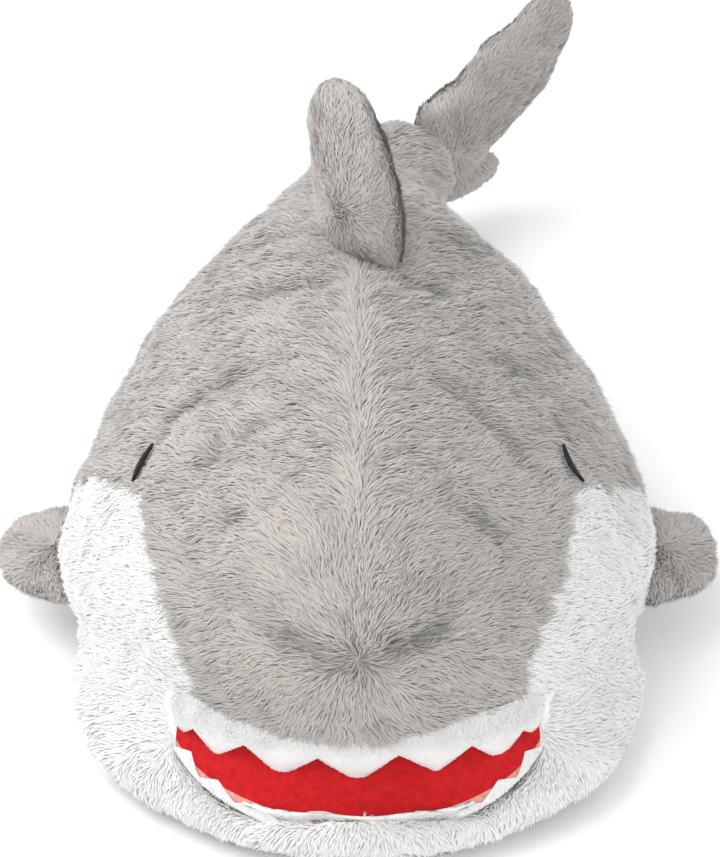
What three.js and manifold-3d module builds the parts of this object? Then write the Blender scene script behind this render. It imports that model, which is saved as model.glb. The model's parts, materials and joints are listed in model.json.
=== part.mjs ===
// Plush shark: a stuffed toy of fur panels sewn round stuffing, with a flexible jaw, fins and tail.
// Millimetres. +Z is up and the snout points along -Y. The origin is on the flat of the belly,
// under the middle of the torso. The tail curls towards +X.
import * as THREE from 'three';
import { ParametricGeometry } from 'three/addons/geometries/ParametricGeometry.js';
import { mergeVertices } from 'three/addons/utils/BufferGeometryUtils.js';
import Module from 'manifold-3d';

const wasm = await Module();
wasm.setup();

// ---------- driving dimensions ----------

// Fabric and sewing
const FABRIC = 3; // thickness of the plush cloth's backing and the root of its pile
const FELT = 2; // thickness of the red mouth lining
const SEAM_GAP = 0.5; // between two pieces sewn edge to edge
const LAYER_GAP = 0.4; // between a panel and the stuffing or lining behind it
const SWING_GAP = 1.5; // between a piece that bends and the one it bends against

// Upper head and torso: one long pear shaped bag
const BODY_LENGTH = 500; // from the snout to the tail's bend
const BODY_HALF_WIDTH = 160; // at the cheeks, before the pear shape widens it
const BODY_HEIGHT = 196; // over the shoulders
const SNOUT_Y = -310; // the foremost point of the upper head
const SNOUT_HEIGHT = 100; // height of that point
const PEAR = 0.3; // how much wider the lower half is than the upper half
const BELLY_FLAT = 7; // depth that the toy's weight has pressed flat
const SNOUT_ROUND = { middle: 110, sideways: 165, up: 100, down: 60 }; // lengths it rounds over

// Lower jaw: a thick round roll of stuffing
const CHIN_Y = -341; // the foremost point of the jaw
const CHIN_HEIGHT = 27; // height of that point
const JAW_HALF_WIDTH = 159;
const JAW_TOP = 45;
const JAW_LIFT = 4; // under the jaw, so that the belly carries the toy
const JAW_HINGE_Y = -205;
const JAW_HINGE_Z = 54;
const JAW_SWING = 14; // degrees kept free behind the jaw's root
const CHIN_ROUND = { middle: 16, sideways: 118, up: 18, down: 34 }; // lengths it rounds over
const JAW_ROOT = 60; // length of the jaw's bag behind its hinge
const JAW_BACK_Z = 30; // below this height nothing of the upper head is in front of the hinge

// Mouth
const MOUTH_HALF_WIDTH = 97;
const MOUTH_BACK_Y = -262; // where the two lips meet
const MOUTH_ROOF_Z = 56;
const MOUTH_FLOOR_Z = 31;
const MOUTH_DEPTH = 41; // from the front of the upper lip to where the lips meet
const LIP_SEAM_Z = 63; // of the seam between the grey snout and the white lip
const LIP_EDGE_Z = 54; // where the upper teeth start
const UPPER_TOOTH = 12;
const UPPER_TEETH = 7;
const LOWER_EDGE_Z = 41; // where the lower teeth start
const LOWER_TOOTH = 9;
const LOWER_TEETH = 7;
const LIP_REACH = 25; // from the front of the upper lip to the inside of the lower lip
const LIP_REACH_SIDEWAYS = 8; // the same at the corners of the mouth

// Where the colours change
const SEAM_HEIGHT = 66; // of the seam between the grey back and the white belly
const MASK_HALF_WIDTH = 112; // of the grey mask on top of the head
const MASK_LENGTH = 125; // of its rounded front
const MASK_BACK_Y = -195; // where the white cheeks end at the mask
const CHEEK_BACK_Y = -130; // where the white cheeks end at the flank
const CHEEK_LOW_Z = 40; // of the seam between the cheeks and the belly

// Eyes: short satin stitched slits
const EYE_LENGTH = 22;
const EYE_WIDTH = 4;
const EYE_ROUND = 61; // degrees from the top of the head to the eye
const EYE_Y = -168;
const EYE_ANGLE = 60; // degrees between the slit and the line across the head

// Tail
const TAIL_BEND_Y = 150; // where the tail bends from side to side
const TAIL_DRUM_RADIUS = 66; // of the rounded end that turns in the torso
const TAIL_LENGTH = 95; // along its curl, from the bend to the root of its fin
const TAIL_ROUND = 14; // length that the end of the tail rounds over
const TAIL_CURL = [[4, 190], [18, 225], [46, 256]]; // places that its middle line passes through

// Fins: chord along the root, span out from the root, thickness at the root
const DORSAL = { chord: 78, span: 68, thickness: 38, tipChord: 56, sweep: 18 };
const DORSAL_Y = -12; // the middle of its root
const DORSAL_TWIST = 32; // degrees that its back edge has turned towards -X
const PECTORAL = { chord: 80, span: 38, thickness: 20, tipChord: 56, sweep: 12 };
const PECTORAL_Y = -128; // the middle of its root
const PECTORAL_ANGLE = 118; // degrees down from the top of the back to its root
const CAUDAL = { chord: 80, span: 112, thickness: 27, tipChord: 76, sweep: 60 };
const CAUDAL_KEEL = { chord: 40, span: 44, thickness: 24, tipChord: 24, sweep: -16 };
const CAUDAL_SPAN = new THREE.Vector3(0.8, 0.6, 0.06); // the way that the tail fin points

// Facets
const AROUND_BODY = 28;
const ALONG_BODY = 26;
const AROUND_FIN = 12;
const ALONG_FIN = 6;
const ROOT_STEPS = 3;
const CURVE_STEPS = 12;

// ---------- materials ----------

const greyFur = new THREE.MeshStandardMaterial({ color: 0xc2bcb7, roughness: 0.95, metalness: 0 });
const whiteFur = new THREE.MeshStandardMaterial({ color: 0xecebe8, roughness: 0.95, metalness: 0 });
const redFelt = new THREE.MeshStandardMaterial({ color: 0xd8141c, roughness: 0.9, metalness: 0 });
const blackThread = new THREE.MeshStandardMaterial({ color: 0x101012, roughness: 0.5, metalness: 0 });
const fibreFill = new THREE.MeshStandardMaterial({ color: 0xf7f7f5, roughness: 1, metalness: 0 });

// ---------- small helpers ----------

const FAR = 1000; // further than any piece reaches
const radians = THREE.MathUtils.degToRad;
const upright = new THREE.Vector3(0, 0, 1);

// A closed three.js geometry as a manifold solid.
function solid(geometry) {
  const bare = geometry.index ? geometry.clone() : mergeVertices(geometry);
  bare.deleteAttribute('normal');
  bare.deleteAttribute('uv');
  const merged = mergeVertices(bare, 1e-3);
  const corners = merged.index.array;
  const kept = [];
  for (let i = 0; i < corners.length; i += 3) {
    const [a, b, c] = [corners[i], corners[i + 1], corners[i + 2]];
    if (a !== b && b !== c && c !== a) kept.push(a, b, c);
  }
  return new wasm.Manifold(new wasm.Mesh({
    numProp: 3,
    vertProperties: new Float32Array(merged.attributes.position.array),
    triVerts: new Uint32Array(kept),
  }));
}

// A manifold solid as a named three.js mesh.
function mesh(name, shape, material) {
  const { vertProperties, triVerts } = shape.getMesh();
  const geometry = new THREE.BufferGeometry();
  geometry.setAttribute('position', new THREE.BufferAttribute(new Float32Array(vertProperties), 3));
  geometry.setIndex(new THREE.BufferAttribute(new Uint32Array(triVerts), 1));
  geometry.computeVertexNormals();
  const made = new THREE.Mesh(geometry, material);
  made.name = name;
  return made;
}

// A box between two corners.
function box(low, high) {
  const size = high.map((value, axis) => value - low[axis]);
  const geometry = new THREE.BoxGeometry(...size);
  geometry.translate(...low.map((value, axis) => value + size[axis] / 2));
  return solid(geometry);
}

// An outline of [y, z] points, drawn as in a side view, carried right across the toy.
function sidePrism(outline) {
  const shape = new THREE.Shape(outline.map(([y, z]) => new THREE.Vector2(y, z)));
  const geometry = new THREE.ExtrudeGeometry(shape, { depth: 2 * FAR, bevelEnabled: false });
  geometry.rotateX(Math.PI / 2);
  geometry.rotateZ(Math.PI / 2);
  geometry.translate(-FAR, 0, 0);
  return solid(geometry);
}

// An outline seen from above, carried between two heights.
function planPrism(shape, low, high, curveSegments = CURVE_STEPS) {
  const depth = high - low;
  const geometry = new THREE.ExtrudeGeometry(shape, { depth, bevelEnabled: false, curveSegments });
  geometry.translate(0, 0, low);
  return solid(geometry);
}

// The smooth curve through [place, value] points, read at one place.
function smooth(points, place) {
  const last = points.length - 1;
  if (place <= points[0][0]) return points[0][1];
  if (place >= points[last][0]) return points[last][1];
  const i = points.findIndex(([x]) => x > place) - 1;
  const slope = (k) => {
    const before = points[Math.max(k - 1, 0)];
    const after = points[Math.min(k + 1, last)];
    return (after[1] - before[1]) / (after[0] - before[0]);
  };
  const width = points[i + 1][0] - points[i][0];
  const t = (place - points[i][0]) / width;
  return (1 + 2 * t) * (1 - t) ** 2 * points[i][1]
    + t * (1 - t) ** 2 * width * slope(i)
    + t * t * (3 - 2 * t) * points[i + 1][1]
    + t * t * (t - 1) * width * slope(i + 1);
}

// The quarter round that closes a bag's end: 0 at the end, 1 from the given depth on.
function dome(distance, depth, power = 1) {
  const left = THREE.MathUtils.clamp(1 - distance / depth, 0, 1);
  return (1 - left * left) ** (power / 2);
}

// ---------- the two bags that make the body ----------

// A bag along a spine. ringAt(distance) gives its centre, sideways direction and ring dimensions.
function bag(ringAt, length, inset, around = AROUND_BODY, along = ALONG_BODY) {
  const surface = (u, v, target) => {
    const eased = 0.5 - 0.5 * Math.cos(Math.PI * v);
    const ring = ringAt(inset + (length - 2 * inset) * eased, inset);
    const angle = 2 * Math.PI * u;
    const closing = v === 0 || v === 1 ? 0 : 1;
    const across = ring.half * closing * Math.sin(angle) * (1 - PEAR * ring.pear * Math.cos(angle));
    const reach = Math.cos(angle) > 0 ? ring.up : ring.down;
    target.copy(ring.centre).addScaledVector(ring.sideways, across);
    target.addScaledVector(upright, closing * reach * Math.cos(angle));
  };
  return solid(new ParametricGeometry(surface, around, along));
}

// The spine runs straight back, then curls towards +X in the tail.
const spine = new THREE.CatmullRomCurve3([
  new THREE.Vector3(0, SNOUT_Y, 0),
  new THREE.Vector3(0, -150, 0),
  new THREE.Vector3(0, 0, 0),
  new THREE.Vector3(0, TAIL_BEND_Y, 0),
  ...TAIL_CURL.map(([x, y]) => new THREE.Vector3(x, y, 0)),
]);
const SPINE_LENGTH = BODY_LENGTH + TAIL_LENGTH;

// Half width, top and underside of the body as shares of its dimensions, from snout to tail.
const widthOutline = [[0, 0.86], [0.15, 0.95], [0.26, 1], [0.38, 0.95], [0.5, 0.83], [0.62, 0.62],
  [0.75, 0.44], [0.86, 0.29], [1, 0.2]];
const topOutline = [[0, 0.97], [0.2, 0.98], [0.35, 1], [0.5, 0.97], [0.64, 0.84], [0.78, 0.65],
  [0.9, 0.53], [1, 0.5]];
const undersideOutline = [[0, 0], [0.6, 0], [0.72, 0.04], [0.86, 0.15], [1, 0.26]];

function bodyRing(distance, inset) {
  const share = distance / SPINE_LENGTH;
  const at = spine.getPointAt(share);
  const tangent = spine.getTangentAt(share);
  const sideways = new THREE.Vector3().crossVectors(tangent, upright).normalize();
  const closing = dome(SPINE_LENGTH - distance - inset, TAIL_ROUND);
  const fromSnout = distance - inset;
  const top = BODY_HEIGHT * smooth(topOutline, share) - inset;
  const underside = BODY_HEIGHT * smooth(undersideOutline, share) - BELLY_FLAT + inset;
  const middle = (top + underside) / 2;
  const front = dome(fromSnout, SNOUT_ROUND.middle);
  const centreHeight = SNOUT_HEIGHT + (middle - SNOUT_HEIGHT) * front;
  return {
    centre: new THREE.Vector3(at.x, at.y, centreHeight),
    sideways,
    half: (BODY_HALF_WIDTH * smooth(widthOutline, share) - inset)
      * dome(fromSnout, SNOUT_ROUND.sideways, 1.1) * closing,
    up: (top - centreHeight) * dome(fromSnout, SNOUT_ROUND.up) * closing,
    down: (centreHeight - underside) * dome(fromSnout, SNOUT_ROUND.down) * closing,
    pear: smooth([[0, 1], [0.4, 1], [0.6, 0]], share),
  };
}

const JAW_LENGTH = JAW_HINGE_Y - CHIN_Y + JAW_ROOT;

function jawRing(distance, inset) {
  const fromChin = distance - inset;
  const front = dome(fromChin, CHIN_ROUND.middle);
  const top = JAW_TOP + 3 - inset;
  const underside = -BELLY_FLAT + inset;
  const middle = (top + underside) / 2;
  return {
    centre: new THREE.Vector3(0, CHIN_Y + distance, CHIN_HEIGHT + (middle - CHIN_HEIGHT) * front),
    sideways: new THREE.Vector3(1, 0, 0),
    half: (JAW_HALF_WIDTH - inset) * dome(fromChin, CHIN_ROUND.sideways, 1.08),
    up: (top - middle) * dome(fromChin, CHIN_ROUND.up),
    down: (middle - underside) * dome(fromChin, CHIN_ROUND.down),
    pear: 0,
  };
}

const bodyBag = (inset) => bag(bodyRing, SPINE_LENGTH, inset);
const jawBag = (inset) => bag(jawRing, JAW_LENGTH, inset);

// ---------- where the bags are cut ----------

// Everything in front of the jaw's hinge and below the mouth, with room for the jaw to swing.
const swingBack = (depth) => depth * Math.tan(radians(JAW_SWING));
const jawSpace = sidePrism([
  [-FAR, -FAR], [JAW_HINGE_Y + SEAM_GAP + swingBack(FAR + JAW_HINGE_Z), -FAR],
  [JAW_HINGE_Y + SEAM_GAP, JAW_HINGE_Z], [JAW_HINGE_Y - JAW_TOP / 2, JAW_BACK_Z], [-FAR, JAW_BACK_Z],
]);

// The gap between the lips.
const mouthGap = box([-FAR, -FAR, 0], [FAR, MOUTH_BACK_Y, MOUTH_ROOF_Z]);

// The tail keeps what lies behind its bend, and a drum that turns in the end of the torso.
function tailRegion(clearance) {
  const shape = new THREE.Shape();
  const radius = TAIL_DRUM_RADIUS + clearance;
  shape.moveTo(-FAR, TAIL_BEND_Y);
  shape.lineTo(-radius, TAIL_BEND_Y);
  shape.absarc(0, TAIL_BEND_Y, radius, Math.PI, 2 * Math.PI, false);
  shape.lineTo(FAR, TAIL_BEND_Y);
  shape.lineTo(FAR, FAR);
  shape.lineTo(-FAR, FAR);
  return planPrism(shape, -FAR, FAR);
}
const tailSpace = tailRegion(0);
const torsoSpace = tailRegion(SWING_GAP);
const aboveFloor = box([-FAR, -FAR, 0], [FAR, FAR, FAR]);

// The shell between a bag and the same bag one fabric thickness smaller.
const bodyOuter = bodyBag(0).intersect(aboveFloor);
const bodyInner = bodyBag(FABRIC).intersect(box([-FAR, -FAR, FABRIC], [FAR, FAR, FAR]));
const bodyCore = bodyBag(FABRIC + LAYER_GAP)
  .intersect(box([-FAR, -FAR, FABRIC + LAYER_GAP], [FAR, FAR, FAR]));
const bodyShell = bodyOuter.subtract(bodyInner);


// ---------- the mouth ----------

// A lip is half an ellipse in front of the place where the lips meet.
const upperLip = { halfWidth: MOUTH_HALF_WIDTH, depth: MOUTH_DEPTH };
const lowerLip = {
  halfWidth: MOUTH_HALF_WIDTH + LIP_REACH_SIDEWAYS,
  depth: MOUTH_DEPTH + LIP_REACH,
};

function lipShape({ halfWidth, depth }, inset) {
  const shape = new THREE.Shape();
  const half = halfWidth - inset;
  shape.absellipse(0, MOUTH_BACK_Y, half, depth - inset, Math.PI, 2 * Math.PI, false);
  shape.closePath();
  return shape;
}

// A zigzag edged strip that stands on the mouth's curve. Its columns are half a tooth apart.
function toothStrip({ lip, inset, thickness, plainEdge, toothEdge, tip, teeth }) {
  const columns = 2 * teeth + 1;
  const column = (index) => {
    const angle = Math.PI * (1 + (index + 0.5) / columns);
    const edge = index % 2 ? tip : toothEdge;
    const [high, low] = edge > plainEdge ? [edge, plainEdge] : [plainEdge, edge];
    const at = (inward, height) => new THREE.Vector3(
      (lip.halfWidth - inset - inward) * Math.cos(angle),
      MOUTH_BACK_Y + (lip.depth - inset - inward) * Math.sin(angle),
      height,
    );
    return [at(0, low), at(thickness, low), at(thickness, high), at(0, high)];
  };
  const rows = columns + 1;
  const surface = (u, v, target) => {
    const row = Math.round(v * rows);
    const corners = column(Math.min(Math.max(row - 1, 0), columns - 1));
    if (row === 0 || row === rows) {
      target.copy(corners[0]).add(corners[1]).add(corners[2]).add(corners[3]).divideScalar(4);
    } else {
      target.copy(corners[Math.round(u * 4) % 4]);
    }
  };
  return solid(new ParametricGeometry(surface, 4, rows));
}

// The space that the white lip takes from the snout.
const lipSpace = box([-FAR, -FAR, 0], [FAR, MOUTH_BACK_Y, LIP_SEAM_Z + SEAM_GAP])
  .subtract(planPrism(lipShape(upperLip, FABRIC + SWING_GAP), -FAR, FAR));
const lowerMouth = planPrism(lipShape(lowerLip, 0), MOUTH_FLOOR_Z, FAR);
const jawClearance = jawBag(-SWING_GAP)
  .intersect(box([-FAR, -FAR, 0], [FAR, JAW_HINGE_Y, JAW_TOP + SEAM_GAP]));

// What the jaw and the mouth leave of one of the body's bags, up to the tail.
function torso(shape) {
  return [jawSpace, jawClearance, mouthGap, lipSpace, torsoSpace]
    .reduce((left, space) => left.subtract(space), shape);
}

// ---------- the body's panels ----------

// The grey cloth: a mask rounded at the front, then everything above the flank seam.
function greyRegion(clearance) {
  const halfWidth = MASK_HALF_WIDTH + clearance;
  const flankSlope = (MASK_BACK_Y - CHEEK_BACK_Y) / (BODY_HALF_WIDTH - MASK_HALF_WIDTH);
  const farBack = MASK_BACK_Y - flankSlope * (FAR - MASK_HALF_WIDTH);
  const shape = new THREE.Shape();
  shape.absellipse(0, MASK_BACK_Y, halfWidth, MASK_LENGTH + clearance, Math.PI, 2 * Math.PI, false);
  shape.lineTo(FAR, farBack - clearance);
  shape.lineTo(FAR, 2 * FAR);
  shape.lineTo(-FAR, 2 * FAR);
  shape.lineTo(-FAR, farBack - clearance);
  return planPrism(shape, SEAM_HEIGHT - clearance, FAR);
}

const onSide = (side) => (side < 0
  ? box([-FAR, -FAR, -FAR], [-SEAM_GAP / 2, FAR, FAR])
  : box([SEAM_GAP / 2, -FAR, -FAR], [FAR, FAR, FAR]));
const cheekRegion = (clearance) => box(
  [-FAR, -FAR, CHEEK_LOW_Z - clearance],
  [FAR, CHEEK_BACK_Y + clearance, FAR],
).add(box([-FAR, -FAR, -FAR], [FAR, JAW_HINGE_Y + clearance, FAR]));

function torsoPieces() {
  const shell = torso(bodyShell);
  const grey = shell.intersect(greyRegion(0));
  const white = shell.subtract(greyRegion(SEAM_GAP));
  const cheeks = white.intersect(cheekRegion(0));
  return [
    mesh('back_panel_left', grey.intersect(onSide(-1)), greyFur),
    mesh('back_panel_right', grey.intersect(onSide(1)), greyFur),
    mesh('cheek_panel_left', cheeks.intersect(onSide(-1)), whiteFur),
    mesh('cheek_panel_right', cheeks.intersect(onSide(1)), whiteFur),
    mesh('belly_panel', white.subtract(cheekRegion(SEAM_GAP)), whiteFur),
    mesh('body_stuffing', torso(bodyCore), fibreFill),
  ];
}

function upperMouthPieces() {
  const lip = toothStrip({
    lip: upperLip,
    inset: 0,
    thickness: FABRIC,
    plainEdge: LIP_SEAM_Z,
    toothEdge: LIP_EDGE_Z,
    tip: LIP_EDGE_Z - UPPER_TOOTH,
    teeth: UPPER_TEETH,
  });
  const roofTop = MOUTH_ROOF_Z - LAYER_GAP;
  const palate = planPrism(lipShape(upperLip, FABRIC + SWING_GAP), roofTop - FELT, roofTop)
    .intersect(box([-FAR, -FAR, 0], [FAR, MOUTH_BACK_Y - LAYER_GAP, FAR]));
  return [mesh('upper_lip', lip, whiteFur), mesh('mouth_palate', palate, redFelt)];
}

function jawPieces() {
  const inside = (inset) => jawBag(inset).intersect(
    box([-FAR, -FAR, JAW_LIFT + inset], [FAR, JAW_HINGE_Y - SEAM_GAP, JAW_TOP - inset]),
  );
  const shell = inside(0).subtract(inside(FABRIC)).subtract(lowerMouth);
  const coreMouth = planPrism(lipShape(lowerLip, -LAYER_GAP), MOUTH_FLOOR_Z - LAYER_GAP, FAR);
  const core = inside(FABRIC + LAYER_GAP).subtract(coreMouth);
  const teeth = toothStrip({
    lip: lowerLip,
    inset: LAYER_GAP,
    thickness: FELT,
    plainEdge: MOUTH_FLOOR_Z + LAYER_GAP,
    toothEdge: LOWER_EDGE_Z,
    tip: LOWER_EDGE_Z + LOWER_TOOTH,
    teeth: LOWER_TEETH,
  });
  const floorLow = MOUTH_FLOOR_Z + LAYER_GAP;
  const floor = planPrism(lipShape(lowerLip, FELT + 2 * SWING_GAP), floorLow, floorLow + FELT);
  return [
    mesh('jaw_panel', shell, whiteFur),
    mesh('jaw_stuffing', core, fibreFill),
    mesh('lower_teeth', teeth, whiteFur),
    mesh('mouth_floor', floor, redFelt),
  ];
}

function tailPieces() {
  const shell = bodyShell.intersect(tailSpace);
  const grey = shell.intersect(greyRegion(0));
  const spinePlane = (side) => {
    const shape = new THREE.Shape(spine.getSpacedPoints(30)
      .filter((point) => point.y > 0)
      .map((point) => new THREE.Vector2(point.x + side * SEAM_GAP / 2, point.y)));
    shape.lineTo(side * FAR, FAR);
    shape.lineTo(side * FAR, 0);
    return planPrism(shape, -FAR, FAR);
  };
  return [
    mesh('tail_panel_left', grey.intersect(spinePlane(-1)), greyFur),
    mesh('tail_panel_right', grey.intersect(spinePlane(1)), greyFur),
    mesh('tail_belly_panel', shell.subtract(greyRegion(SEAM_GAP)), whiteFur),
    mesh('tail_stuffing', bodyCore.intersect(tailSpace), fibreFill),
  ];
}

// ---------- fins ----------

// A padded fin. Its chord lies along X, its span along +Z and its thickness along Y.
// The root is half round about the line where it is sewn on, so that it can flop.
function finSolid(fin, inset) {
  const thickness = fin.thickness - 2 * inset;
  const rootRows = Array.from({ length: ROOT_STEPS }, (_, row) => {
    const angle = radians(80 * (1 - row / ROOT_STEPS));
    const height = -Math.sin(angle) * thickness / 2;
    return { height, chord: fin.chord - 2 * inset, thick: Math.cos(angle) * thickness, shift: 0 };
  });
  const spanRows = Array.from({ length: ALONG_FIN }, (_, row) => {
    const angle = radians(84 * row / (ALONG_FIN - 1));
    const share = Math.sin(angle);
    const width = fin.chord + (fin.tipChord - fin.chord) * share - 2 * inset;
    return {
      height: (fin.span - inset) * share,
      chord: width * dome(1 - share, 0.35),
      thick: thickness * Math.sqrt(Math.cos(angle)),
      shift: fin.sweep * share,
    };
  });
  const rows = [rootRows[0], ...rootRows, ...spanRows, spanRows.at(-1)];
  const last = rows.length - 1;
  const surface = (u, v, target) => {
    const row = Math.round(v * last);
    const closing = row === 0 || row === last ? 0 : 0.5;
    const { height, chord, thick, shift } = rows[row];
    const angle = 2 * Math.PI * u;
    target.set(shift + closing * chord * Math.cos(angle), closing * thick * Math.sin(angle), height);
  };
  return solid(new ParametricGeometry(surface, AROUND_FIN, last));
}

// The two panels and the stuffing of a fin whose solid is made by solidAt(inset).
function finMeshes(names, solidAt, materials) {
  const shell = solidAt(0).subtract(solidAt(FABRIC));
  const near = box([-FAR, -FAR, -FAR], [FAR, -SEAM_GAP / 2, FAR]);
  const far = box([-FAR, SEAM_GAP / 2, -FAR], [FAR, FAR, FAR]);
  return [
    mesh(names[0], shell.intersect(near), materials[0]),
    mesh(names[1], shell.intersect(far), materials[1]),
    mesh(names[2], solidAt(FABRIC + LAYER_GAP), fibreFill),
  ];
}

// A group whose Z is the fin's span and whose X is its chord.
function placed(pieces, position, span, chord) {
  const z = span.clone().normalize();
  const y = new THREE.Vector3().crossVectors(z, chord).normalize();
  const x = new THREE.Vector3().crossVectors(y, z);
  const group = new THREE.Group();
  group.quaternion.setFromRotationMatrix(new THREE.Matrix4().makeBasis(x, y, z));
  group.position.copy(position);
  group.add(...pieces);
  return group;
}

// A point on the body's skin: how far along, and the angle from the top towards +X.
function skinPoint(distance, angle) {
  const ring = bodyRing(distance, 0);
  const reach = Math.cos(angle) > 0 ? ring.up : ring.down;
  const across = ring.half * Math.sin(angle) * (1 - PEAR * ring.pear * Math.cos(angle));
  return ring.centre.clone().addScaledVector(ring.sideways, across)
    .addScaledVector(upright, reach * Math.cos(angle));
}

function dorsalFin() {
  const ahead = skinPoint(DORSAL_Y - SNOUT_Y - DORSAL.chord / 2, 0);
  const behind = skinPoint(DORSAL_Y - SNOUT_Y + DORSAL.chord / 2, 0);
  const chord = behind.clone().sub(ahead).applyAxisAngle(upright, radians(DORSAL_TWIST));
  const lift = DORSAL.thickness / 2 + SWING_GAP;
  const crown = skinPoint(DORSAL_Y - SNOUT_Y, 0).z - (ahead.z + behind.z) / 2;
  const position = ahead.clone().add(behind).divideScalar(2);
  position.z += lift + crown;
  const names = ['dorsal_panel_right', 'dorsal_panel_left', 'dorsal_stuffing'];
  const pieces = finMeshes(names, (inset) => finSolid(DORSAL, inset), [greyFur, greyFur]);
  return placed(pieces, position, new THREE.Vector3(0, 0.12, 1), chord);
}

function pectoralFin(side) {
  const name = side < 0 ? 'left' : 'right';
  const root = skinPoint(PECTORAL_Y - SNOUT_Y, side * radians(PECTORAL_ANGLE));
  const span = new THREE.Vector3(side, 0.1, -0.28).normalize();
  root.addScaledVector(span, PECTORAL.thickness / 2 + SWING_GAP);
  const below = `pectoral_${name}_bottom`;
  const above = `pectoral_${name}_top`;
  const names = side < 0 ? [above, below] : [below, above];
  const cloth = side < 0 ? [greyFur, whiteFur] : [whiteFur, greyFur];
  const pieces = finMeshes(
    [...names, `pectoral_${name}_stuffing`],
    (inset) => finSolid(PECTORAL, inset),
    cloth,
  );
  return placed(pieces, root, span, new THREE.Vector3(0, 1, 0));
}

function caudalFin() {
  const lobes = (inset) => {
    const keel = finSolid(CAUDAL_KEEL, inset);
    return finSolid(CAUDAL, inset).add(keel.translate([(CAUDAL_KEEL.chord - CAUDAL.chord) / 2, 0, 0]));
  };
  const end = bodyRing(SPINE_LENGTH, 0).centre;
  const reach = CAUDAL.thickness / 2 + SWING_GAP;
  const position = end.addScaledVector(CAUDAL_SPAN.clone().normalize(), reach);
  const names = ['caudal_panel_right', 'caudal_panel_left', 'caudal_stuffing'];
  return placed(finMeshes(names, lobes, [greyFur, greyFur]), position, CAUDAL_SPAN, upright);
}

// ---------- eyes ----------

function eye(side) {
  const distance = EYE_Y - SNOUT_Y;
  const angle = side * radians(EYE_ROUND);
  const step = 0.02;
  const along = skinPoint(distance + 1, angle).sub(skinPoint(distance - 1, angle)).normalize();
  const around = skinPoint(distance, angle + step).sub(skinPoint(distance, angle - step)).normalize();
  const outward = new THREE.Vector3().crossVectors(around, along).normalize();
  const thickness = EYE_WIDTH * 0.6;
  const slit = along.clone().multiplyScalar(Math.sin(radians(EYE_ANGLE)))
    .addScaledVector(around, -side * Math.cos(radians(EYE_ANGLE)));
  const geometry = new THREE.SphereGeometry(0.5, 10, 8);
  geometry.scale(EYE_WIDTH, thickness, EYE_LENGTH);
  const made = mesh(side < 0 ? 'eye_left' : 'eye_right', solid(geometry), blackThread);
  const centre = skinPoint(distance, angle).addScaledVector(outward, thickness / 2 + 2 * LAYER_GAP);
  return placed([made], centre, slit, around);
}

// ---------- the toy ----------

const shark = new THREE.Group();
shark.add(...torsoPieces(), ...upperMouthPieces(), ...jawPieces(), ...tailPieces());
shark.add(dorsalFin(), pectoralFin(-1), pectoralFin(1), caudalFin(), eye(-1), eye(1));

export default shark;
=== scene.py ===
"""The looks of the plush shark: fur, cloth, teeth, mouth lining, stitched eyes, camera and light."""
import bmesh
import bpy
import json
import math
import numpy as np
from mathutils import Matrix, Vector
from mathutils.bvhtree import BVHTree


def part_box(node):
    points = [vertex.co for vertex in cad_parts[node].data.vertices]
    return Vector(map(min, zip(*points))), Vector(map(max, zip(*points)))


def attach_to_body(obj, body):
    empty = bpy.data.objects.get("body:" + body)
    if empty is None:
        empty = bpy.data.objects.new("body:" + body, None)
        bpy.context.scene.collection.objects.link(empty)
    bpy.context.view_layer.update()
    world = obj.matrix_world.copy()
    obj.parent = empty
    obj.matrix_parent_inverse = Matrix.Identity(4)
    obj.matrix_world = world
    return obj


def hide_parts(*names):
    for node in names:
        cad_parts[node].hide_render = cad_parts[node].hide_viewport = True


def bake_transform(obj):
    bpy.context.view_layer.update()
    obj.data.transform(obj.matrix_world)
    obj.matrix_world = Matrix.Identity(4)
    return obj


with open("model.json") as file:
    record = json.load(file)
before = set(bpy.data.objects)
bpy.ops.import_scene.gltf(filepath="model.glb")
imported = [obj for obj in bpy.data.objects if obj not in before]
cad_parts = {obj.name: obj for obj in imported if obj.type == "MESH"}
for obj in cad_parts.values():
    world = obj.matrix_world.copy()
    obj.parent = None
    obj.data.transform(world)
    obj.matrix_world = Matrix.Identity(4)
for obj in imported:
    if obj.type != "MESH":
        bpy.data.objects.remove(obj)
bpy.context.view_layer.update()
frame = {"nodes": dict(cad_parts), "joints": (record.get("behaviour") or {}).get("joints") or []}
nodes = frame["nodes"]
MM = 0.001

# ---------- places taken from the frame ----------

joints = {joint["name"]: joint for joint in frame["joints"]}
lip_low, lip_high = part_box("upper_lip")
floor_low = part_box("mouth_floor")[0]
teeth_low, teeth_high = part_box("lower_teeth")
dorsal_root = Vector(joints["dorsal_flop"]["pos_m"])
caudal_root = Vector(joints["caudal_flop"]["pos_m"])
SNOUT_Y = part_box("back_panel_left")[0].y
MOUTH_BACK_Y = lip_high.y
UPPER_HALF = lip_high.x
UPPER_DEPTH = lip_high.y - lip_low.y
LOWER_HALF = teeth_high.x
LOWER_DEPTH = teeth_high.y - teeth_low.y
LOWER_EDGE = teeth_low.z
LIP_EDGE = lip_low.z + 8 * MM
NOSE = Vector((0, SNOUT_Y + 6 * MM, 117 * MM))

# ---------- camera ----------

VIEW_ELEVATION = math.radians(38)
VIEW_DISTANCE = 1.64
LENS = 78
AIM = Vector((0.001, -0.068, 0.086))


def make_camera():
    data = bpy.data.cameras.new("camera")
    camera = bpy.data.objects.new("camera", data)
    bpy.context.scene.collection.objects.link(camera)
    data.sensor_fit = "VERTICAL"
    data.sensor_height = 24
    data.lens = LENS
    toward = Vector((0, -math.cos(VIEW_ELEVATION), math.sin(VIEW_ELEVATION)))
    camera.location = AIM + VIEW_DISTANCE * toward
    camera.rotation_euler = (math.pi / 2 - VIEW_ELEVATION, 0, 0)
    bpy.context.scene.camera = camera


make_camera()

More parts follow.
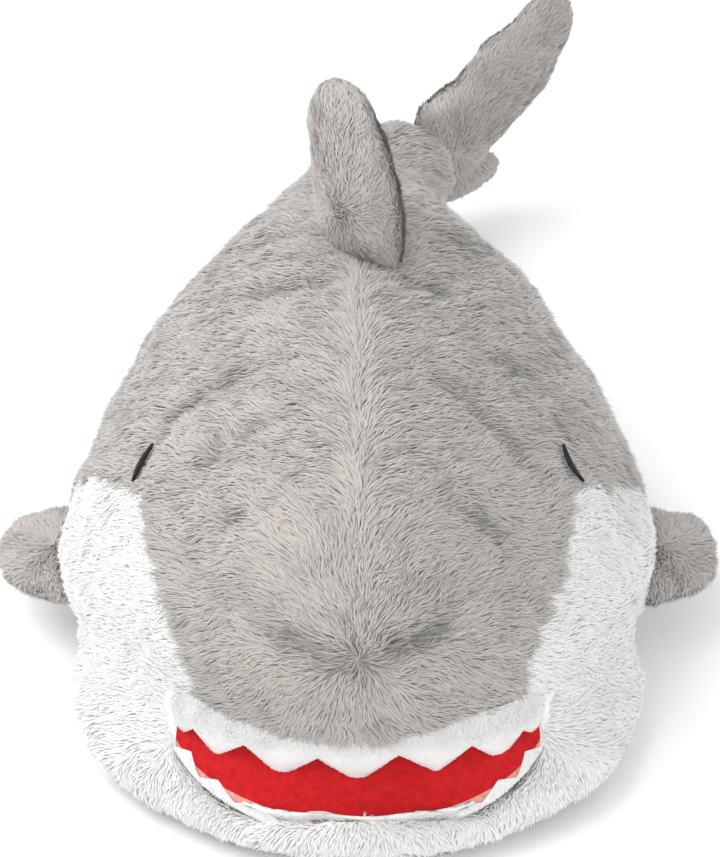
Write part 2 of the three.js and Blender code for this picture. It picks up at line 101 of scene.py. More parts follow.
# ---------- small helpers ----------


def piece_from(name, data):
    piece = bpy.data.objects.new(name, data)
    bpy.context.scene.collection.objects.link(piece)
    return piece


def joined_copy(name, *sources):
    """One new object that holds a copy of each source object's mesh."""
    joined = bmesh.new()
    for source in sources:
        joined.from_mesh(source.data)
    data = bpy.data.meshes.new(name)
    joined.to_mesh(data)
    joined.free()
    return piece_from(name, data)


def with_modifier(piece, kind, **settings):
    """Adds a modifier, sets it up and applies it."""
    modifier = piece.modifiers.new(kind.lower(), kind)
    for key, value in settings.items():
        setattr(modifier, key, value)
    graph = bpy.context.evaluated_depsgraph_get()
    old = piece.data
    piece.data = bpy.data.meshes.new_from_object(piece.evaluated_get(graph))
    piece.modifiers.clear()
    bpy.data.meshes.remove(old)
    return piece


def remesh(piece, voxel):
    return with_modifier(piece, "REMESH", mode="VOXEL", voxel_size=voxel)


def corners(piece):
    flat = np.empty(len(piece.data.vertices) * 3, np.float32)
    piece.data.vertices.foreach_get("co", flat)
    return flat.reshape(-1, 3).astype(float)


def vertex_normals(piece):
    flat = np.empty(len(piece.data.vertices) * 3, np.float32)
    piece.data.vertex_normals.foreach_get("vector", flat)
    return flat.reshape(-1, 3).astype(float)


def move_to(piece, places):
    piece.data.vertices.foreach_set("co", places.astype(np.float32).ravel())
    piece.data.update()


def grow(piece, distance):
    move_to(piece, corners(piece) + vertex_normals(piece) * distance)


def relax(piece, rounds, factor=0.5):
    return with_modifier(piece, "SMOOTH", iterations=rounds, factor=factor)


def shade_smooth(piece):
    piece.data.polygons.foreach_set("use_smooth", [True] * len(piece.data.polygons))


def keep_side(piece, point, normal):
    """Cuts a closed piece by a plane and keeps the closed half that the normal points to."""
    cut = bmesh.new()
    cut.from_mesh(piece.data)
    everything = cut.verts[:] + cut.edges[:] + cut.faces[:]
    made = bmesh.ops.bisect_plane(
        cut, geom=everything, plane_co=point, plane_no=normal, clear_inner=True
    )
    rim = [item for item in made["geom_cut"] if isinstance(item, bmesh.types.BMEdge)]
    bmesh.ops.holes_fill(cut, edges=rim)
    cut.to_mesh(piece.data)
    cut.free()
    return piece


def surface(name):
    """A search tree of a CAD node's surface."""
    data = nodes[name].data
    faces = [tuple(face.vertices) for face in data.polygons]
    return BVHTree.FromPolygons([vertex.co for vertex in data.vertices], faces)


def ease(value, low, high):
    """0 below low, 1 above high, smooth between them."""
    share = np.clip((value - low) / (high - low), 0, 1)
    return share * share * (3 - 2 * share)


def ridge(places, start, end, width):
    """How near each place is to the line from start to end: 1 on it, falling off over width."""
    start, end = np.array(start, float), np.array(end, float)
    line = end - start
    share = np.clip((places - start) @ line / (line @ line), 0, 1)
    apart = np.linalg.norm(places - start - share[:, None] * line, axis=1)
    taper = np.sin(np.pi * np.clip(share * 0.9 + 0.05, 0, 1)) ** 0.5
    return np.exp(-((apart / width) ** 2)) * taper


def waves(places, size, seed):
    """A smooth, repeatable mottle between -1 and 1 whose spots are about size across."""
    rng = np.random.default_rng(seed)
    total = np.zeros(len(places))
    count = 14
    for _ in range(count):
        direction = rng.normal(size=3)
        direction *= rng.uniform(0.6, 1.5) * math.pi / size / np.linalg.norm(direction)
        total += np.sin(places @ direction + rng.uniform(0, 2 * math.pi))
    return total / math.sqrt(count)


# ---------- materials ----------


def principled(name, colour, roughness, sheen=0.0):
    material = bpy.data.materials.new(name)
    material.use_nodes = True
    shader = material.node_tree.nodes["Principled BSDF"]
    shader.inputs["Base Color"].default_value = (*colour, 1)
    shader.inputs["Roughness"].default_value = roughness
    shader.inputs["Sheen Weight"].default_value = sheen
    shader.inputs["Sheen Roughness"].default_value = 0.5
    shader.inputs["Specular IOR Level"].default_value = 0.2
    return material, shader


def mottled(name, dark, light, spot, grain, bump, roughness=0.9, sheen=0.3):
    """Cloth: a soft colour mottle with spots of one size, and a fine raised grain of another."""
    material, shader = principled(name, light, roughness, sheen)
    tree = material.node_tree
    place = tree.nodes.new("ShaderNodeTexCoord")
    spots = tree.nodes.new("ShaderNodeTexNoise")
    spots.inputs["Scale"].default_value = 1 / spot
    spots.inputs["Detail"].default_value = 6
    ramp = tree.nodes.new("ShaderNodeValToRGB")
    ramp.color_ramp.elements[0].position = 0.3
    ramp.color_ramp.elements[0].color = (*dark, 1)
    ramp.color_ramp.elements[1].position = 0.7
    ramp.color_ramp.elements[1].color = (*light, 1)
    fibres = tree.nodes.new("ShaderNodeTexNoise")
    fibres.inputs["Scale"].default_value = 1 / grain
    fibres.inputs["Detail"].default_value = 4
    raised = tree.nodes.new("ShaderNodeBump")
    raised.inputs["Strength"].default_value = 0.6
    raised.inputs["Distance"].default_value = bump
    tree.links.new(place.outputs["Object"], spots.inputs["Vector"])
    tree.links.new(place.outputs["Object"], fibres.inputs["Vector"])
    tree.links.new(spots.outputs["Fac"], ramp.inputs["Fac"])
    tree.links.new(ramp.outputs["Color"], shader.inputs["Base Color"])
    tree.links.new(fibres.outputs["Fac"], raised.inputs["Height"])
    tree.links.new(raised.outputs["Normal"], shader.inputs["Normal"])
    return material


def fur_tones(name, tones):
    """One plain material for each tone of fur, darkest first."""
    return [
        principled(f"{name}_{index}", tone, roughness=0.85, sheen=0.25)[0]
        for index, tone in enumerate(tones)
    ]


grey_backing = mottled("grey_backing", (0.38, 0.36, 0.34), (0.48, 0.45, 0.43), 0.02, 0.0012, 0.0008)
white_backing = mottled("white_backing", (0.82, 0.82, 0.81), (0.90, 0.90, 0.89), 0.02, 0.0012, 0.0008)
# Painted highlight: the red lining painted pale pink, as red felt washed out by strong light.
painted_highlight_red_felt = mottled("painted_highlight_red_felt", (0.62, 0.20, 0.17), (0.80, 0.42, 0.37), 0.004, 0.0011, 0.0010)
red_felt = mottled("red_felt", (0.46, 0.004, 0.007), (0.62, 0.009, 0.013), 0.004, 0.0011, 0.0010)
black_thread = mottled("black_thread", (0.004, 0.004, 0.005), (0.02, 0.02, 0.022), 0.003, 0.0006,
                       0.0004, roughness=0.55, sheen=0.1)
fibre_fill = mottled("fibre_fill", (0.80, 0.80, 0.78), (0.92, 0.92, 0.91), 0.012, 0.0015, 0.003)
floor_paint = mottled("floor_paint", (0.95, 0.95, 0.95), (0.97, 0.97, 0.97), 0.3, 0.004, 0.0001,
                      sheen=0.0)

# The darkest tone is reached mostly in the creases, where it is painted shade.
grey_tones = fur_tones("grey_fur", [
    (0.30, 0.29, 0.28), (0.43, 0.41, 0.395), (0.48, 0.455, 0.435),
    (0.52, 0.49, 0.468), (0.55, 0.517, 0.49), (0.56, 0.51, 0.468),
])
white_tones = fur_tones("white_fur", [
    (0.79, 0.79, 0.78), (0.83, 0.83, 0.82), (0.855, 0.855, 0.845), (0.88, 0.88, 0.87),
])

# ---------- the body's skin ----------

SKIN_VOXEL = 4.5 * MM
CHEEK_FILLET = 40 * MM
FLOOR_CLEARANCE = 0.2 * MM
SKIN_SMOOTHING = 6
SEAM_DEPTH = 1.6 * MM
SEAM_WIDTH = 5 * MM
NOSE_CREASE_DEPTH = 10 * MM
NOSE_CREASE_WIDTH = 7 * MM
PINCH_DEPTH = 2 * MM
PINCH_WIDTH = 10 * MM
FOLD_DEPTH = 2.3
LIP_SAG = 19 * MM
LIP_SAG_REACH = 22 * MM


def whole_body():
    """The torso, jaw and tail as one smooth bag, with the crease between cheek and jaw filled."""
    names = ["body_stuffing", "back_panel_left", "back_panel_right", "cheek_panel_left",
             "cheek_panel_right", "belly_panel", "jaw_panel", "jaw_stuffing", "tail_panel_left",
             "tail_panel_right", "tail_belly_panel", "tail_stuffing"]
    sources = [nodes[name] for name in names]
    plain = remesh(joined_copy("plain", *sources), SKIN_VOXEL)
    filled = joined_copy("filled", plain)
    grow(filled, CHEEK_FILLET)
    remesh(filled, SKIN_VOXEL)
    grow(filled, -CHEEK_FILLET)
    remesh(filled, SKIN_VOXEL)
    behind = keep_side(joined_copy("behind", filled), (0, MOUTH_BACK_Y, 0), (0, 1, 0))
    left = keep_side(joined_copy("left", filled), (lip_low.x, 0, 0), (-1, 0, 0))
    right = keep_side(joined_copy("right", filled), (lip_high.x, 0, 0), (1, 0, 0))
    body = joined_copy("body", plain, behind, left, right)
    for scrap in (plain, filled, behind, left, right):
        bpy.data.objects.remove(scrap)
    remesh(body, SKIN_VOXEL)
    relax(body, SKIN_SMOOTHING)
    return body


back_skin = surface("back_panel_left"), surface("back_panel_right")


def on_back(x, y, z):
    """The point of the back's skin that is nearest to a place given in millimetres."""
    found = [tree.find_nearest(Vector((x, y, z)) * MM) for tree in back_skin]
    return min(found, key=lambda hit: hit[3])[0]


nose_creases = [
    (on_back(-6, -312, 116), on_back(-46, -292, 126)),
    (on_back(8, -310, 119), on_back(50, -288, 133)),
]
nose_pinch = on_back(*(NOSE / MM))

# Each soft fold of the back: its two ends, its depth and its width, in millimetres.
folds = [
    ((-62, -62, 182), (-14, -70, 193), 3.4, 11), ((16, -68, 193), (58, -62, 183), 2.8, 11),
    ((-110, -150, 150), (-45, -128, 185), 2.4, 12), ((-92, -200, 152), (-30, -182, 182), 2.6, 11),
    ((40, -150, 188), (96, -196, 150), 2.6, 12), ((62, -120, 182), (108, -112, 160), 2.2, 11),
    ((-80, -240, 138), (-38, -236, 168), 2.0, 10), ((34, -232, 172), (84, -246, 136), 2.2, 10),
    ((-88, 10, 160), (-24, -4, 188), 2.4, 12), ((30, 6, 186), (84, 22, 156), 2.2, 12),
]


def creased(places):
    """How deep the skin is pressed in, in metres, along seams, nose folds and wrinkles."""
    x, y, z = places.T
    on_top = ease(z, 90 * MM, 130 * MM)
    ahead_of_dorsal_fin = ease(-y, -60 * MM, -20 * MM)
    depth = SEAM_DEPTH * np.exp(-((x / SEAM_WIDTH) ** 2)) * on_top * ahead_of_dorsal_fin
    for inner, outer in nose_creases:
        depth += NOSE_CREASE_DEPTH * ridge(places, inner, outer, NOSE_CREASE_WIDTH)
    pinch = np.linalg.norm(places - np.array(nose_pinch), axis=1)
    depth += PINCH_DEPTH * np.exp(-((pinch / PINCH_WIDTH) ** 2))
    for start, end, deep, wide in folds:
        depth += FOLD_DEPTH * deep * MM * ridge(places, on_back(*start), on_back(*end), wide * MM)
    return depth


def wrinkled(places):
    """How deep the skin is pressed in, in metres, with its soft unevenness."""
    broad = 1.2 * MM * waves(places, 36 * MM, seed=4)
    fine = 0.4 * MM * waves(places, 15 * MM, seed=5)
    return creased(places) + (broad + fine)


def lip_drop(places):
    """How far the front of the lower lip sags."""
    x, y, z = places.T
    forward = np.maximum(MOUTH_BACK_Y - y, 0)
    beyond_lip = (np.hypot(x / LOWER_HALF, forward / LOWER_DEPTH) - 1) * LOWER_DEPTH
    on_jaw = (y < MOUTH_BACK_Y) * (z < lip_low.z + 12 * MM) * ease(z, 6 * MM, 40 * MM)
    front = ease(1 - np.abs(x) / LOWER_HALF, -0.1, 0.5)
    return LIP_SAG * np.exp(-((beyond_lip / LIP_SAG_REACH) ** 2)) * on_jaw * front


def sculpt(body):
    """Presses in the seam, folds and nose, and lets the lower lip sag."""
    places = corners(body)
    normals = vertex_normals(body)
    places -= normals * wrinkled(places)[:, None]
    places[:, 2] -= lip_drop(places)
    places[:, 2] = np.maximum(places[:, 2], FLOOR_CLEARANCE)
    move_to(body, places)


# ---------- cutting the skin into its panels ----------


def nearest_node(places, names):
    """For each place, the index in names of the CAD node whose surface is nearest."""
    trees = [surface(name) for name in names]
    apart = [[tree.find_nearest(place)[3] for tree in trees] for place in places]
    return np.argmin(np.array(apart), axis=1)


def face_centres(piece):
    flat = np.empty(len(piece.data.polygons) * 3, np.float32)
    piece.data.polygons.foreach_get("center", flat)
    return flat.reshape(-1, 3).astype(float)


def only_faces(piece, name, keep):
    """A new piece that has just the kept faces, with the same smooth normals as the whole."""
    cut = bmesh.new()
    cut.from_mesh(piece.data)
    cut.faces.ensure_lookup_table()
    dropped = [face for face, kept in zip(cut.faces, keep) if not kept]
    bmesh.ops.delete(cut, geom=dropped, context="FACES")
    data = bpy.data.meshes.new(name)
    cut.to_mesh(data)
    cut.free()
    made = piece_from(name, data)
    shade_smooth(made)
    return made


# ---------- fur ----------

MOST_BLADES = 66_000
SWIRL = 0.3
STRAY = 0.2
LIFT = 34
BEND = 26
MIDDLE_WIDTH = 0.8
POINTS = 5
CORNERS = 7


def flatten_to(directions, normals):
    """The directions laid flat on the surface, at length 1."""
    flat = directions - normals * np.sum(directions * normals, axis=1)[:, None]
    return flat / np.maximum(np.linalg.norm(flat, axis=1), 1e-9)[:, None]


def scattered(skin, per_square_metre, rng):
    """Evenly scattered points on a skin, with the smooth normal at each."""
    data = skin.data
    data.calc_loop_triangles()
    triangles = np.array([tri.vertices[:] for tri in data.loop_triangles])
    places, normals = corners(skin), vertex_normals(skin)
    a, b, c = (places[triangles[:, k]] for k in range(3))
    areas = np.linalg.norm(np.cross(b - a, c - a), axis=1) / 2
    count = min(int(areas.sum() * per_square_metre), MOST_BLADES)
    picked = rng.choice(len(triangles), size=count, p=areas / areas.sum())
    s, t = rng.random(count), rng.random(count)
    over = s + t > 1
    s[over], t[over] = 1 - s[over], 1 - t[over]
    weights = np.stack([1 - s - t, s, t], axis=1)[:, :, None]
    roots = (places[triangles[picked]] * weights).sum(axis=1)
    outward = (normals[triangles[picked]] * weights).sum(axis=1)
    return roots, outward / np.linalg.norm(outward, axis=1)[:, None]


def blade_points(roots, normals, heading, size, width, lift):
    """The five points of each blade: two at its root, two where it bends, and its tip."""
    across = np.cross(heading, normals)
    bent = lift - np.radians(BEND)
    lower = heading * np.cos(lift)[:, None] + normals * np.sin(lift)[:, None]
    upper = heading * np.cos(bent)[:, None] + normals * np.sin(bent)[:, None]
    middle = roots + lower * (size * 0.5)[:, None]
    tips = middle + upper * (size * 0.5)[:, None]
    half = across * (width / 2)
    narrow = half * MIDDLE_WIDTH
    points = np.stack([roots - half, roots + half, middle + narrow, middle - narrow, tips], 1)
    points[:, :, 2] = np.maximum(points[:, :, 2], FLOOR_CLEARANCE)
    return points


def blade_mesh(name, points, tone):
    """A mesh of blades, each a quad with a triangle on it, in the material of its tone."""
    count = len(points)
    first = np.arange(count)[:, None] * POINTS
    quads = first + np.array([0, 1, 2, 3])
    triangles = first + np.array([3, 2, 4])
    loops = np.concatenate([quads, triangles], axis=1).ravel()
    quad_start = np.arange(count) * CORNERS
    starts = np.stack([quad_start, quad_start + 4], axis=1).ravel()
    data = bpy.data.meshes.new(name)
    data.vertices.add(count * POINTS)
    data.vertices.foreach_set("co", points.astype(np.float32).ravel())
    data.loops.add(len(loops))
    data.loops.foreach_set("vertex_index", loops.astype(np.int32))
    data.polygons.add(count * 2)
    data.polygons.foreach_set("loop_start", starts.astype(np.int32))
    data.polygons.foreach_set("material_index", np.repeat(tone, 2).astype(np.int32))
    data.update()
    return data


def fur(name, skin, tones, comb, length, width, per_square_metre, seed, bare=None, pick=None):
    """Blades of pile that stand on a skin: each is a bent, tapered strip with a tone of its own."""
    rng = np.random.default_rng(seed)
    roots, normals = scattered(skin, per_square_metre, rng)
    if bare is not None:
        kept = ~bare(roots)
        roots, normals = roots[kept], normals[kept]
    count = len(roots)
    tangents = flatten_to(comb(roots), normals)
    sideways = np.cross(normals, tangents)
    swirl = SWIRL * waves(roots, 26 * MM, seed + 1) + SWIRL * waves(roots, 8 * MM, seed + 2)
    swirl = swirl + rng.normal(0, STRAY, count)
    heading = tangents * np.cos(swirl)[:, None] + sideways * np.sin(swirl)[:, None]
    clump = 1 + 0.15 * waves(roots, 6 * MM, seed + 3)
    size = length(roots) * np.clip(clump + rng.normal(0, 0.14, count), 0.45, 1.6)
    lift = np.radians(LIFT + 7 * waves(roots, 9 * MM, seed + 4) + rng.normal(0, 6, count))
    share = 0.32 + rng.random(count) * 0.5 + 0.12 * waves(roots, 14 * MM, seed + 5)
    if pick is not None:
        share = share + pick(roots)
    tone = np.clip((share * len(tones)).astype(int), 0, len(tones) - 1)
    data = blade_mesh(name, blade_points(roots, normals, heading, size, width, lift), tone)
    for material in tones:
        data.materials.append(material)
    turned = np.cross(heading, normals) * rng.normal(0, 1, count)[:, None]
    shading = normals + heading * 0.15 + 0.1 * turned
    shading /= np.linalg.norm(shading, axis=1)[:, None]
    pile = piece_from(name, data)
    shade_smooth(pile)
    data.normals_split_custom_set_from_vertices(np.repeat(shading, POINTS, axis=0))
    return pile


NOSE_WHORL = 60 * MM
PARTING = 12 * MM


def combed_body(places):
    """Which way the body's pile lies: out from the nose, away from the seam, and down the chin."""
    x, y, z = places.T
    from_nose = places - np.array(NOSE)
    near_nose = np.exp(-((np.linalg.norm(from_nose, axis=1) / NOSE_WHORL) ** 2))[:, None]
    away = np.tanh(x / PARTING)
    parted = np.stack([away, np.full(len(x), 0.35), -0.3 * np.abs(away)], axis=1)
    radial = from_nose / np.maximum(np.linalg.norm(from_nose, axis=1), 1e-6)[:, None]
    chin = np.stack([0.4 * away, np.full(len(x), -0.4), np.full(len(x), -1.0)], axis=1)
    in_front = ease(MOUTH_BACK_Y - y, 0, 30 * MM)
    below_lip = ease(LIP_EDGE + 4 * MM - z, 0, 8 * MM)
    on_chin = (in_front * below_lip)[:, None]
    above = radial * near_nose * 3 + (1 - near_nose) * parted
    return chin * on_chin + above * (1 - on_chin)


# How much darker the fur is painted per metre of crease depth: painted shade in the creases.
CREASE_SHADE_PAINT = 90


def painted_crease_shade(roots):
    """Painted shade: how far to move the fur along its tones towards the darker ones where the skin is
    pressed in, standing in for the shade in the creases, folds and seam.
    """
    return -CREASE_SHADE_PAINT * np.maximum(creased(roots) - 1 * MM, 0)


# ---------- the body's panels, each with its own fur ----------

PILE = 8.5 * MM
BLADE = 0.88 * MM
BLADES = 900_000
EYE_BARE = 5 * MM
EYE_BARE_EDGE = 0.55
EYE_SHORT_PILE = 14 * MM
WHITE_PILE = 0.72 * PILE
EYE_TILT = math.radians(16)
EYE_STRETCH = 1.15

panel_body = {
    "back_panel_left": "tail", "back_panel_right": "tail", "belly_panel": "tail",
    "tail_panel_left": "tail", "tail_panel_right": "tail", "tail_belly_panel": "tail",
    "cheek_panel_left": "torso", "cheek_panel_right": "torso", "jaw_panel": "jaw",
}
panels = list(panel_body)


def attach(piece, body):
    """A panel that runs into the tail or the jaw keeps its place and is attached to no body; any other
    panel is attached to its body.
    """
    if body == "tail":
        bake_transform(piece)
    elif body == "jaw":
        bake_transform(piece)
    else:
        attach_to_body(piece, body)


def eye_line(node):
    """The two ends of an eye's stitched slit, and the way that it faces."""
    places = corners(nodes[node])
    centre = (places.min(axis=0) + places.max(axis=0)) / 2
    _, _, axes = np.linalg.svd(places - centre, full_matrices=False)
    half = np.ptp((places - centre) @ axes[0]) / 2
    outward = axes[2] * np.sign(axes[2][2])
    slit = axes[0] * np.sign(axes[0][2])
    inward = np.cross(outward, slit) * np.sign(centre[0])
    slit = slit * math.cos(EYE_TILT) + inward * math.sin(EYE_TILT)
    half *= EYE_STRETCH
    return centre - slit * half, centre + slit * half, outward


eyes = {node: eye_line(node) for node in ("eye_left", "eye_right")}


def lip_curve(angle, half_width, depth, height):
    """A point of a lip: half an ellipse in front of the place where the lips meet."""
    return Vector((half_width * math.cos(angle), MOUTH_BACK_Y + depth * math.sin(angle), height))


def inside_mouth(roots):
    """Places on the skin behind the lips, which the red lining covers."""
    x, y, z = roots.T
    forward = np.maximum(MOUTH_BACK_Y + 4 * MM - y, 0)
    lower = (x / LOWER_HALF) ** 2 + (forward / LOWER_DEPTH) ** 2 < 1
    upper = (x / UPPER_HALF) ** 2 + (forward / UPPER_DEPTH) ** 2 < 1.05
    between_lips = (z < lip_high.z) & (z > floor_low.z)
    in_front = y < MOUTH_BACK_Y + 4 * MM
    return in_front & between_lips & (lower | upper)


def bare_spots(roots):
    """Places on the skin without pile: inside the mouth and under the stitched eyes."""
    bare = inside_mouth(roots)
    for start, end, _ in eyes.values():
        bare |= ridge(roots, start, end, EYE_BARE) > EYE_BARE_EDGE
    return bare


def body_pile(roots):
    """Pile length: full on the back, half as long close to the eyes."""
    near_eye = sum(ridge(roots, start, end, EYE_SHORT_PILE) for start, end, _ in eyes.values())
    return PILE * (1 - 0.5 * np.clip(near_eye, 0, 1))


def white_pile(roots):
    return np.full(len(roots), WHITE_PILE)


def dress_body():
    """The stuffed skin, cut into its panels, each a backing cloth and its pile."""
    body = whole_body()
    sculpt(body)
    shade_smooth(body)
    owner = nearest_node(face_centres(body), panels)
    for index, node in enumerate(panels):
        grey = node.startswith(("back", "tail_panel"))
        cloth = only_faces(body, node + "_cloth", owner == index)
        cloth.data.materials.append(grey_backing if grey else white_backing)
        # Grey fur is painted darker in the creases: painted shade.
        pile = fur(
            node + "_fur", cloth, grey_tones if grey else white_tones, combed_body,
            body_pile if grey else white_pile, BLADE, BLADES, seed=10 + index,
            bare=bare_spots, pick=painted_crease_shade if grey else None,
        )
        for piece in (cloth, pile):
            attach(piece, panel_body[node])
        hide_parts(node)
    bpy.data.objects.remove(body)


# ---------- mouth ----------


def grid_piece(name, rows, materials, row_material=None):
    """A sheet through rows of points, all with the same number of points."""
    width = len(rows[0])
    faces = []
    for row in range(len(rows) - 1):
        for column in range(width - 1):
            corner = row * width + column
            faces.append((corner, corner + 1, corner + width + 1, corner + width))
    data = bpy.data.meshes.new(name)
    data.from_pydata([tuple(point) for row in rows for point in row], [], faces)
    for material in materials:
        data.materials.append(material)
    if row_material:
        for face in data.polygons:
            face.material_index = row_material(face.index // (width - 1))
    piece = piece_from(name, data)
    shade_smooth(piece)
    return piece


LINING_ROWS = 22
LINING_COLUMNS = 72
# Rows of the tongue at the lower lip that are painted pale pink, as a painted highlight on the red felt.
PAINTED_HIGHLIGHT_ROWS = 3
ROOF_DROP = 38 * MM
TONGUE_START = 0.2
LINING_HALF = UPPER_HALF - 4 * MM
LINING_DEPTH = UPPER_DEPTH - 7 * MM
LINING_TOP = LIP_EDGE + 3 * MM
MOUTH_CORNER_Z = LIP_EDGE + 1 * MM
PIT_DROP = 15 * MM
LINING_LOW = LOWER_EDGE - 14 * MM


def lining_point(across, down, proud=0.0):
    """The red lining: across runs from corner to corner, down from the upper to the lower lip."""
    angle = math.pi * (1 + across)
    middle = math.sin(math.pi * across)
    top = lip_curve(angle, LINING_HALF, LINING_DEPTH, LINING_TOP)
    pit = lip_curve(angle, UPPER_HALF, UPPER_DEPTH + 2 * MM, MOUTH_CORNER_Z - PIT_DROP * middle)
    bottom_height = MOUTH_CORNER_Z + (LINING_LOW - MOUTH_CORNER_Z) * middle
    bottom = lip_curve(angle, LOWER_HALF, LOWER_DEPTH + 4 * MM, bottom_height)
    place = top * (1 - down) ** 2 + pit * (2 * down * (1 - down)) + bottom * down ** 2
    return place + Vector((0, -0.6, 0.8)) * proud * middle ** 0.5


def roof_point(across, down):
    """The lining behind the upper teeth, which hangs down inside the jaw."""
    angle = math.pi * (1 + across)
    drop = ROOF_DROP * down * math.sin(math.pi * across) ** 0.5
    return lip_curve(angle, LINING_HALF, LINING_DEPTH, LINING_TOP - drop)


def sheet_rows(point, start):
    """Rows of points of a lining sheet, from the lower lip up to a start share."""
    return [
        [point(column / LINING_COLUMNS, 1 + (start - 1) * row / LINING_ROWS)
         for column in range(LINING_COLUMNS + 1)]
        for row in range(LINING_ROWS + 1)
    ]


def mouth_lining():
    """The red felt of the mouth: a roof that hangs behind the upper teeth, and the tongue."""
    roof = grid_piece("mouth_palate_felt", sheet_rows(roof_point, 0), [red_felt])
    # The tongue's rows at the lower lip are painted pale pink: a painted highlight on the red felt.
    tongue = grid_piece("mouth_floor_felt", sheet_rows(lining_point, TONGUE_START),
                        [red_felt, painted_highlight_red_felt], row_material=lambda row: int(row < PAINTED_HIGHLIGHT_ROWS))
    for piece, node, body in ((roof, "mouth_palate", "torso"), (tongue, "mouth_floor", "jaw")):
        with_modifier(piece, "SOLIDIFY", thickness=1.6 * MM, offset=-1)
        with_modifier(piece, "SUBSURF", levels=1)
        shade_smooth(piece)
        attach(piece, body)
        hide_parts(node)


def zigzag(share, teeth):
    """0 between teeth, 1 at a tooth's tip, for a share of the way along the strip."""
    phase = (share * teeth) % 1
    return 1 - abs(2 * phase - 1)


STRIP_COLUMNS = 168
STRIP_ROWS = 8
UPPER_TEETH = 7
LOWER_TEETH = 11
TOOTH = 17 * MM


TOOTH_BLADES = {"upper_lip": 2_600_000, "lower_teeth": 2_200_000}


def strip_rows(point):
    """Rows of points of a toothed strip, by the share of the way along it and the share up."""
    return [
        [point(column / STRIP_COLUMNS, row / STRIP_ROWS) for column in range(STRIP_COLUMNS + 1)]
        for row in range(STRIP_ROWS + 1)
    ]


def one_way(direction):
    """A comb that lays all of the pile in one direction."""
    return lambda places: np.tile(direction, (len(places), 1))


def upper_lip():
    """The white lip under the snout, with its edge cut in teeth."""
    def point(share, up):
        down = 1 - up
        angle = math.pi * (1.02 + 0.96 * share)
        middle = math.sin(math.pi * share)
        wobble = 0.1 * math.sin(5 * share * math.pi + 1)
        edge = LIP_EDGE + 2 * MM - TOOTH * (zigzag(share, UPPER_TEETH) + wobble) * middle ** 0.4
        top = lip_high.z + 6 * MM
        height = top + (edge - top) * down
        out = 5.5 * MM * math.sin(0.75 * math.pi * down) - 3 * MM * (1 - down)
        return lip_curve(angle, UPPER_HALF + out, UPPER_DEPTH + out, height)

    def pile_length(roots):
        return 0.7 * MM + 2.8 * MM * ease(roots[:, 2], LIP_EDGE, lip_high.z)

    cloth = grid_piece("upper_lip_cloth", strip_rows(point), [white_backing])
    pile = fur("upper_lip_fur", cloth, white_tones, one_way((0, -0.1, -1.0)), pile_length,
               0.35 * MM, TOOTH_BLADES["upper_lip"], seed=40)
    with_modifier(cloth, "SOLIDIFY", thickness=1.8 * MM, offset=-1)
    shade_smooth(cloth)
    for piece in (cloth, pile):
        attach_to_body(piece, "torso")
    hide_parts("upper_lip")


def lower_teeth():
    """White cut teeth that stand on the inside of the lower lip and lean over the red lining."""
    def point(share, up):
        aside = abs(2 * share - 1)
        tip = (0.07 + 0.34 * aside ** 2.5) * zigzag(share, LOWER_TEETH)
        return lining_point(0.02 + 0.96 * share, 1.04 - up * (0.05 + tip), proud=1.4 * MM)

    def pile_length(roots):
        return np.full(len(roots), 1.3 * MM)

    cloth = grid_piece("lower_teeth_cloth", strip_rows(point), [white_backing])
    pile = fur("lower_teeth_fur", cloth, white_tones, one_way((0, -1.0, -0.4)), pile_length,
               0.4 * MM, TOOTH_BLADES["lower_teeth"], seed=41)
    with_modifier(cloth, "SOLIDIFY", thickness=1.4 * MM, offset=-1)
    shade_smooth(cloth)
    for piece in (cloth, pile):
        attach(piece, "jaw")
    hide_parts("lower_teeth")


# ---------- eyes ----------

STITCHES = 26
STEPS_PER_STITCH = 4
EYE_END_HALF = 0.35 * MM
EYE_HALF_SWELL = 1.9 * MM
EYE_BOW = 2.4 * MM
EYE_PROUD = 1.5 * MM
THREAD_RELIEF = 0.35 * MM
ARCH_STEPS = 8


def eye(node):
    """A closed eye in satin stitch: threads laid side by side across a pointed slit."""
    start, end, outward = (Vector(value) for value in eyes[node])
    along = (end - start).normalized()
    across = outward.cross(along).normalized()
    rows = []
    steps = STITCHES * STEPS_PER_STITCH
    for step in range(steps + 1):
        share = step / steps
        middle = math.sin(math.pi * share)
        half = EYE_END_HALF + EYE_HALF_SWELL * middle ** 0.8
        proud = EYE_PROUD + THREAD_RELIEF * abs(math.sin(math.pi * share * STITCHES))
        centre = start.lerp(end, share) + across * EYE_BOW * middle
        row = []
        for corner in range(ARCH_STEPS + 1):
            turn = math.pi * corner / ARCH_STEPS
            row.append(centre + across * half * math.cos(turn) + outward * proud * math.sin(turn))
        rows.append(row)
    piece = grid_piece(node + "_stitching", rows, [black_thread])
    with_modifier(piece, "SOLIDIFY", thickness=0.5 * MM, offset=-1)
    shade_smooth(piece)
    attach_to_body(piece, "torso")
    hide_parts(node)


# ---------- fins ----------

FIN_VOXEL = 3.4 * MM
FIN_SMOOTHING = 4
FIN_RIPPLE = 1.2 * MM
FIN_PILE = 0.62 * PILE
ROOT_TUCK = 8 * MM
ROOT_TUCK_REACH = 14 * MM
PRESSURE = 4
CLOTH_FRAMES = 12
MOST_SWELL = 3 * MM


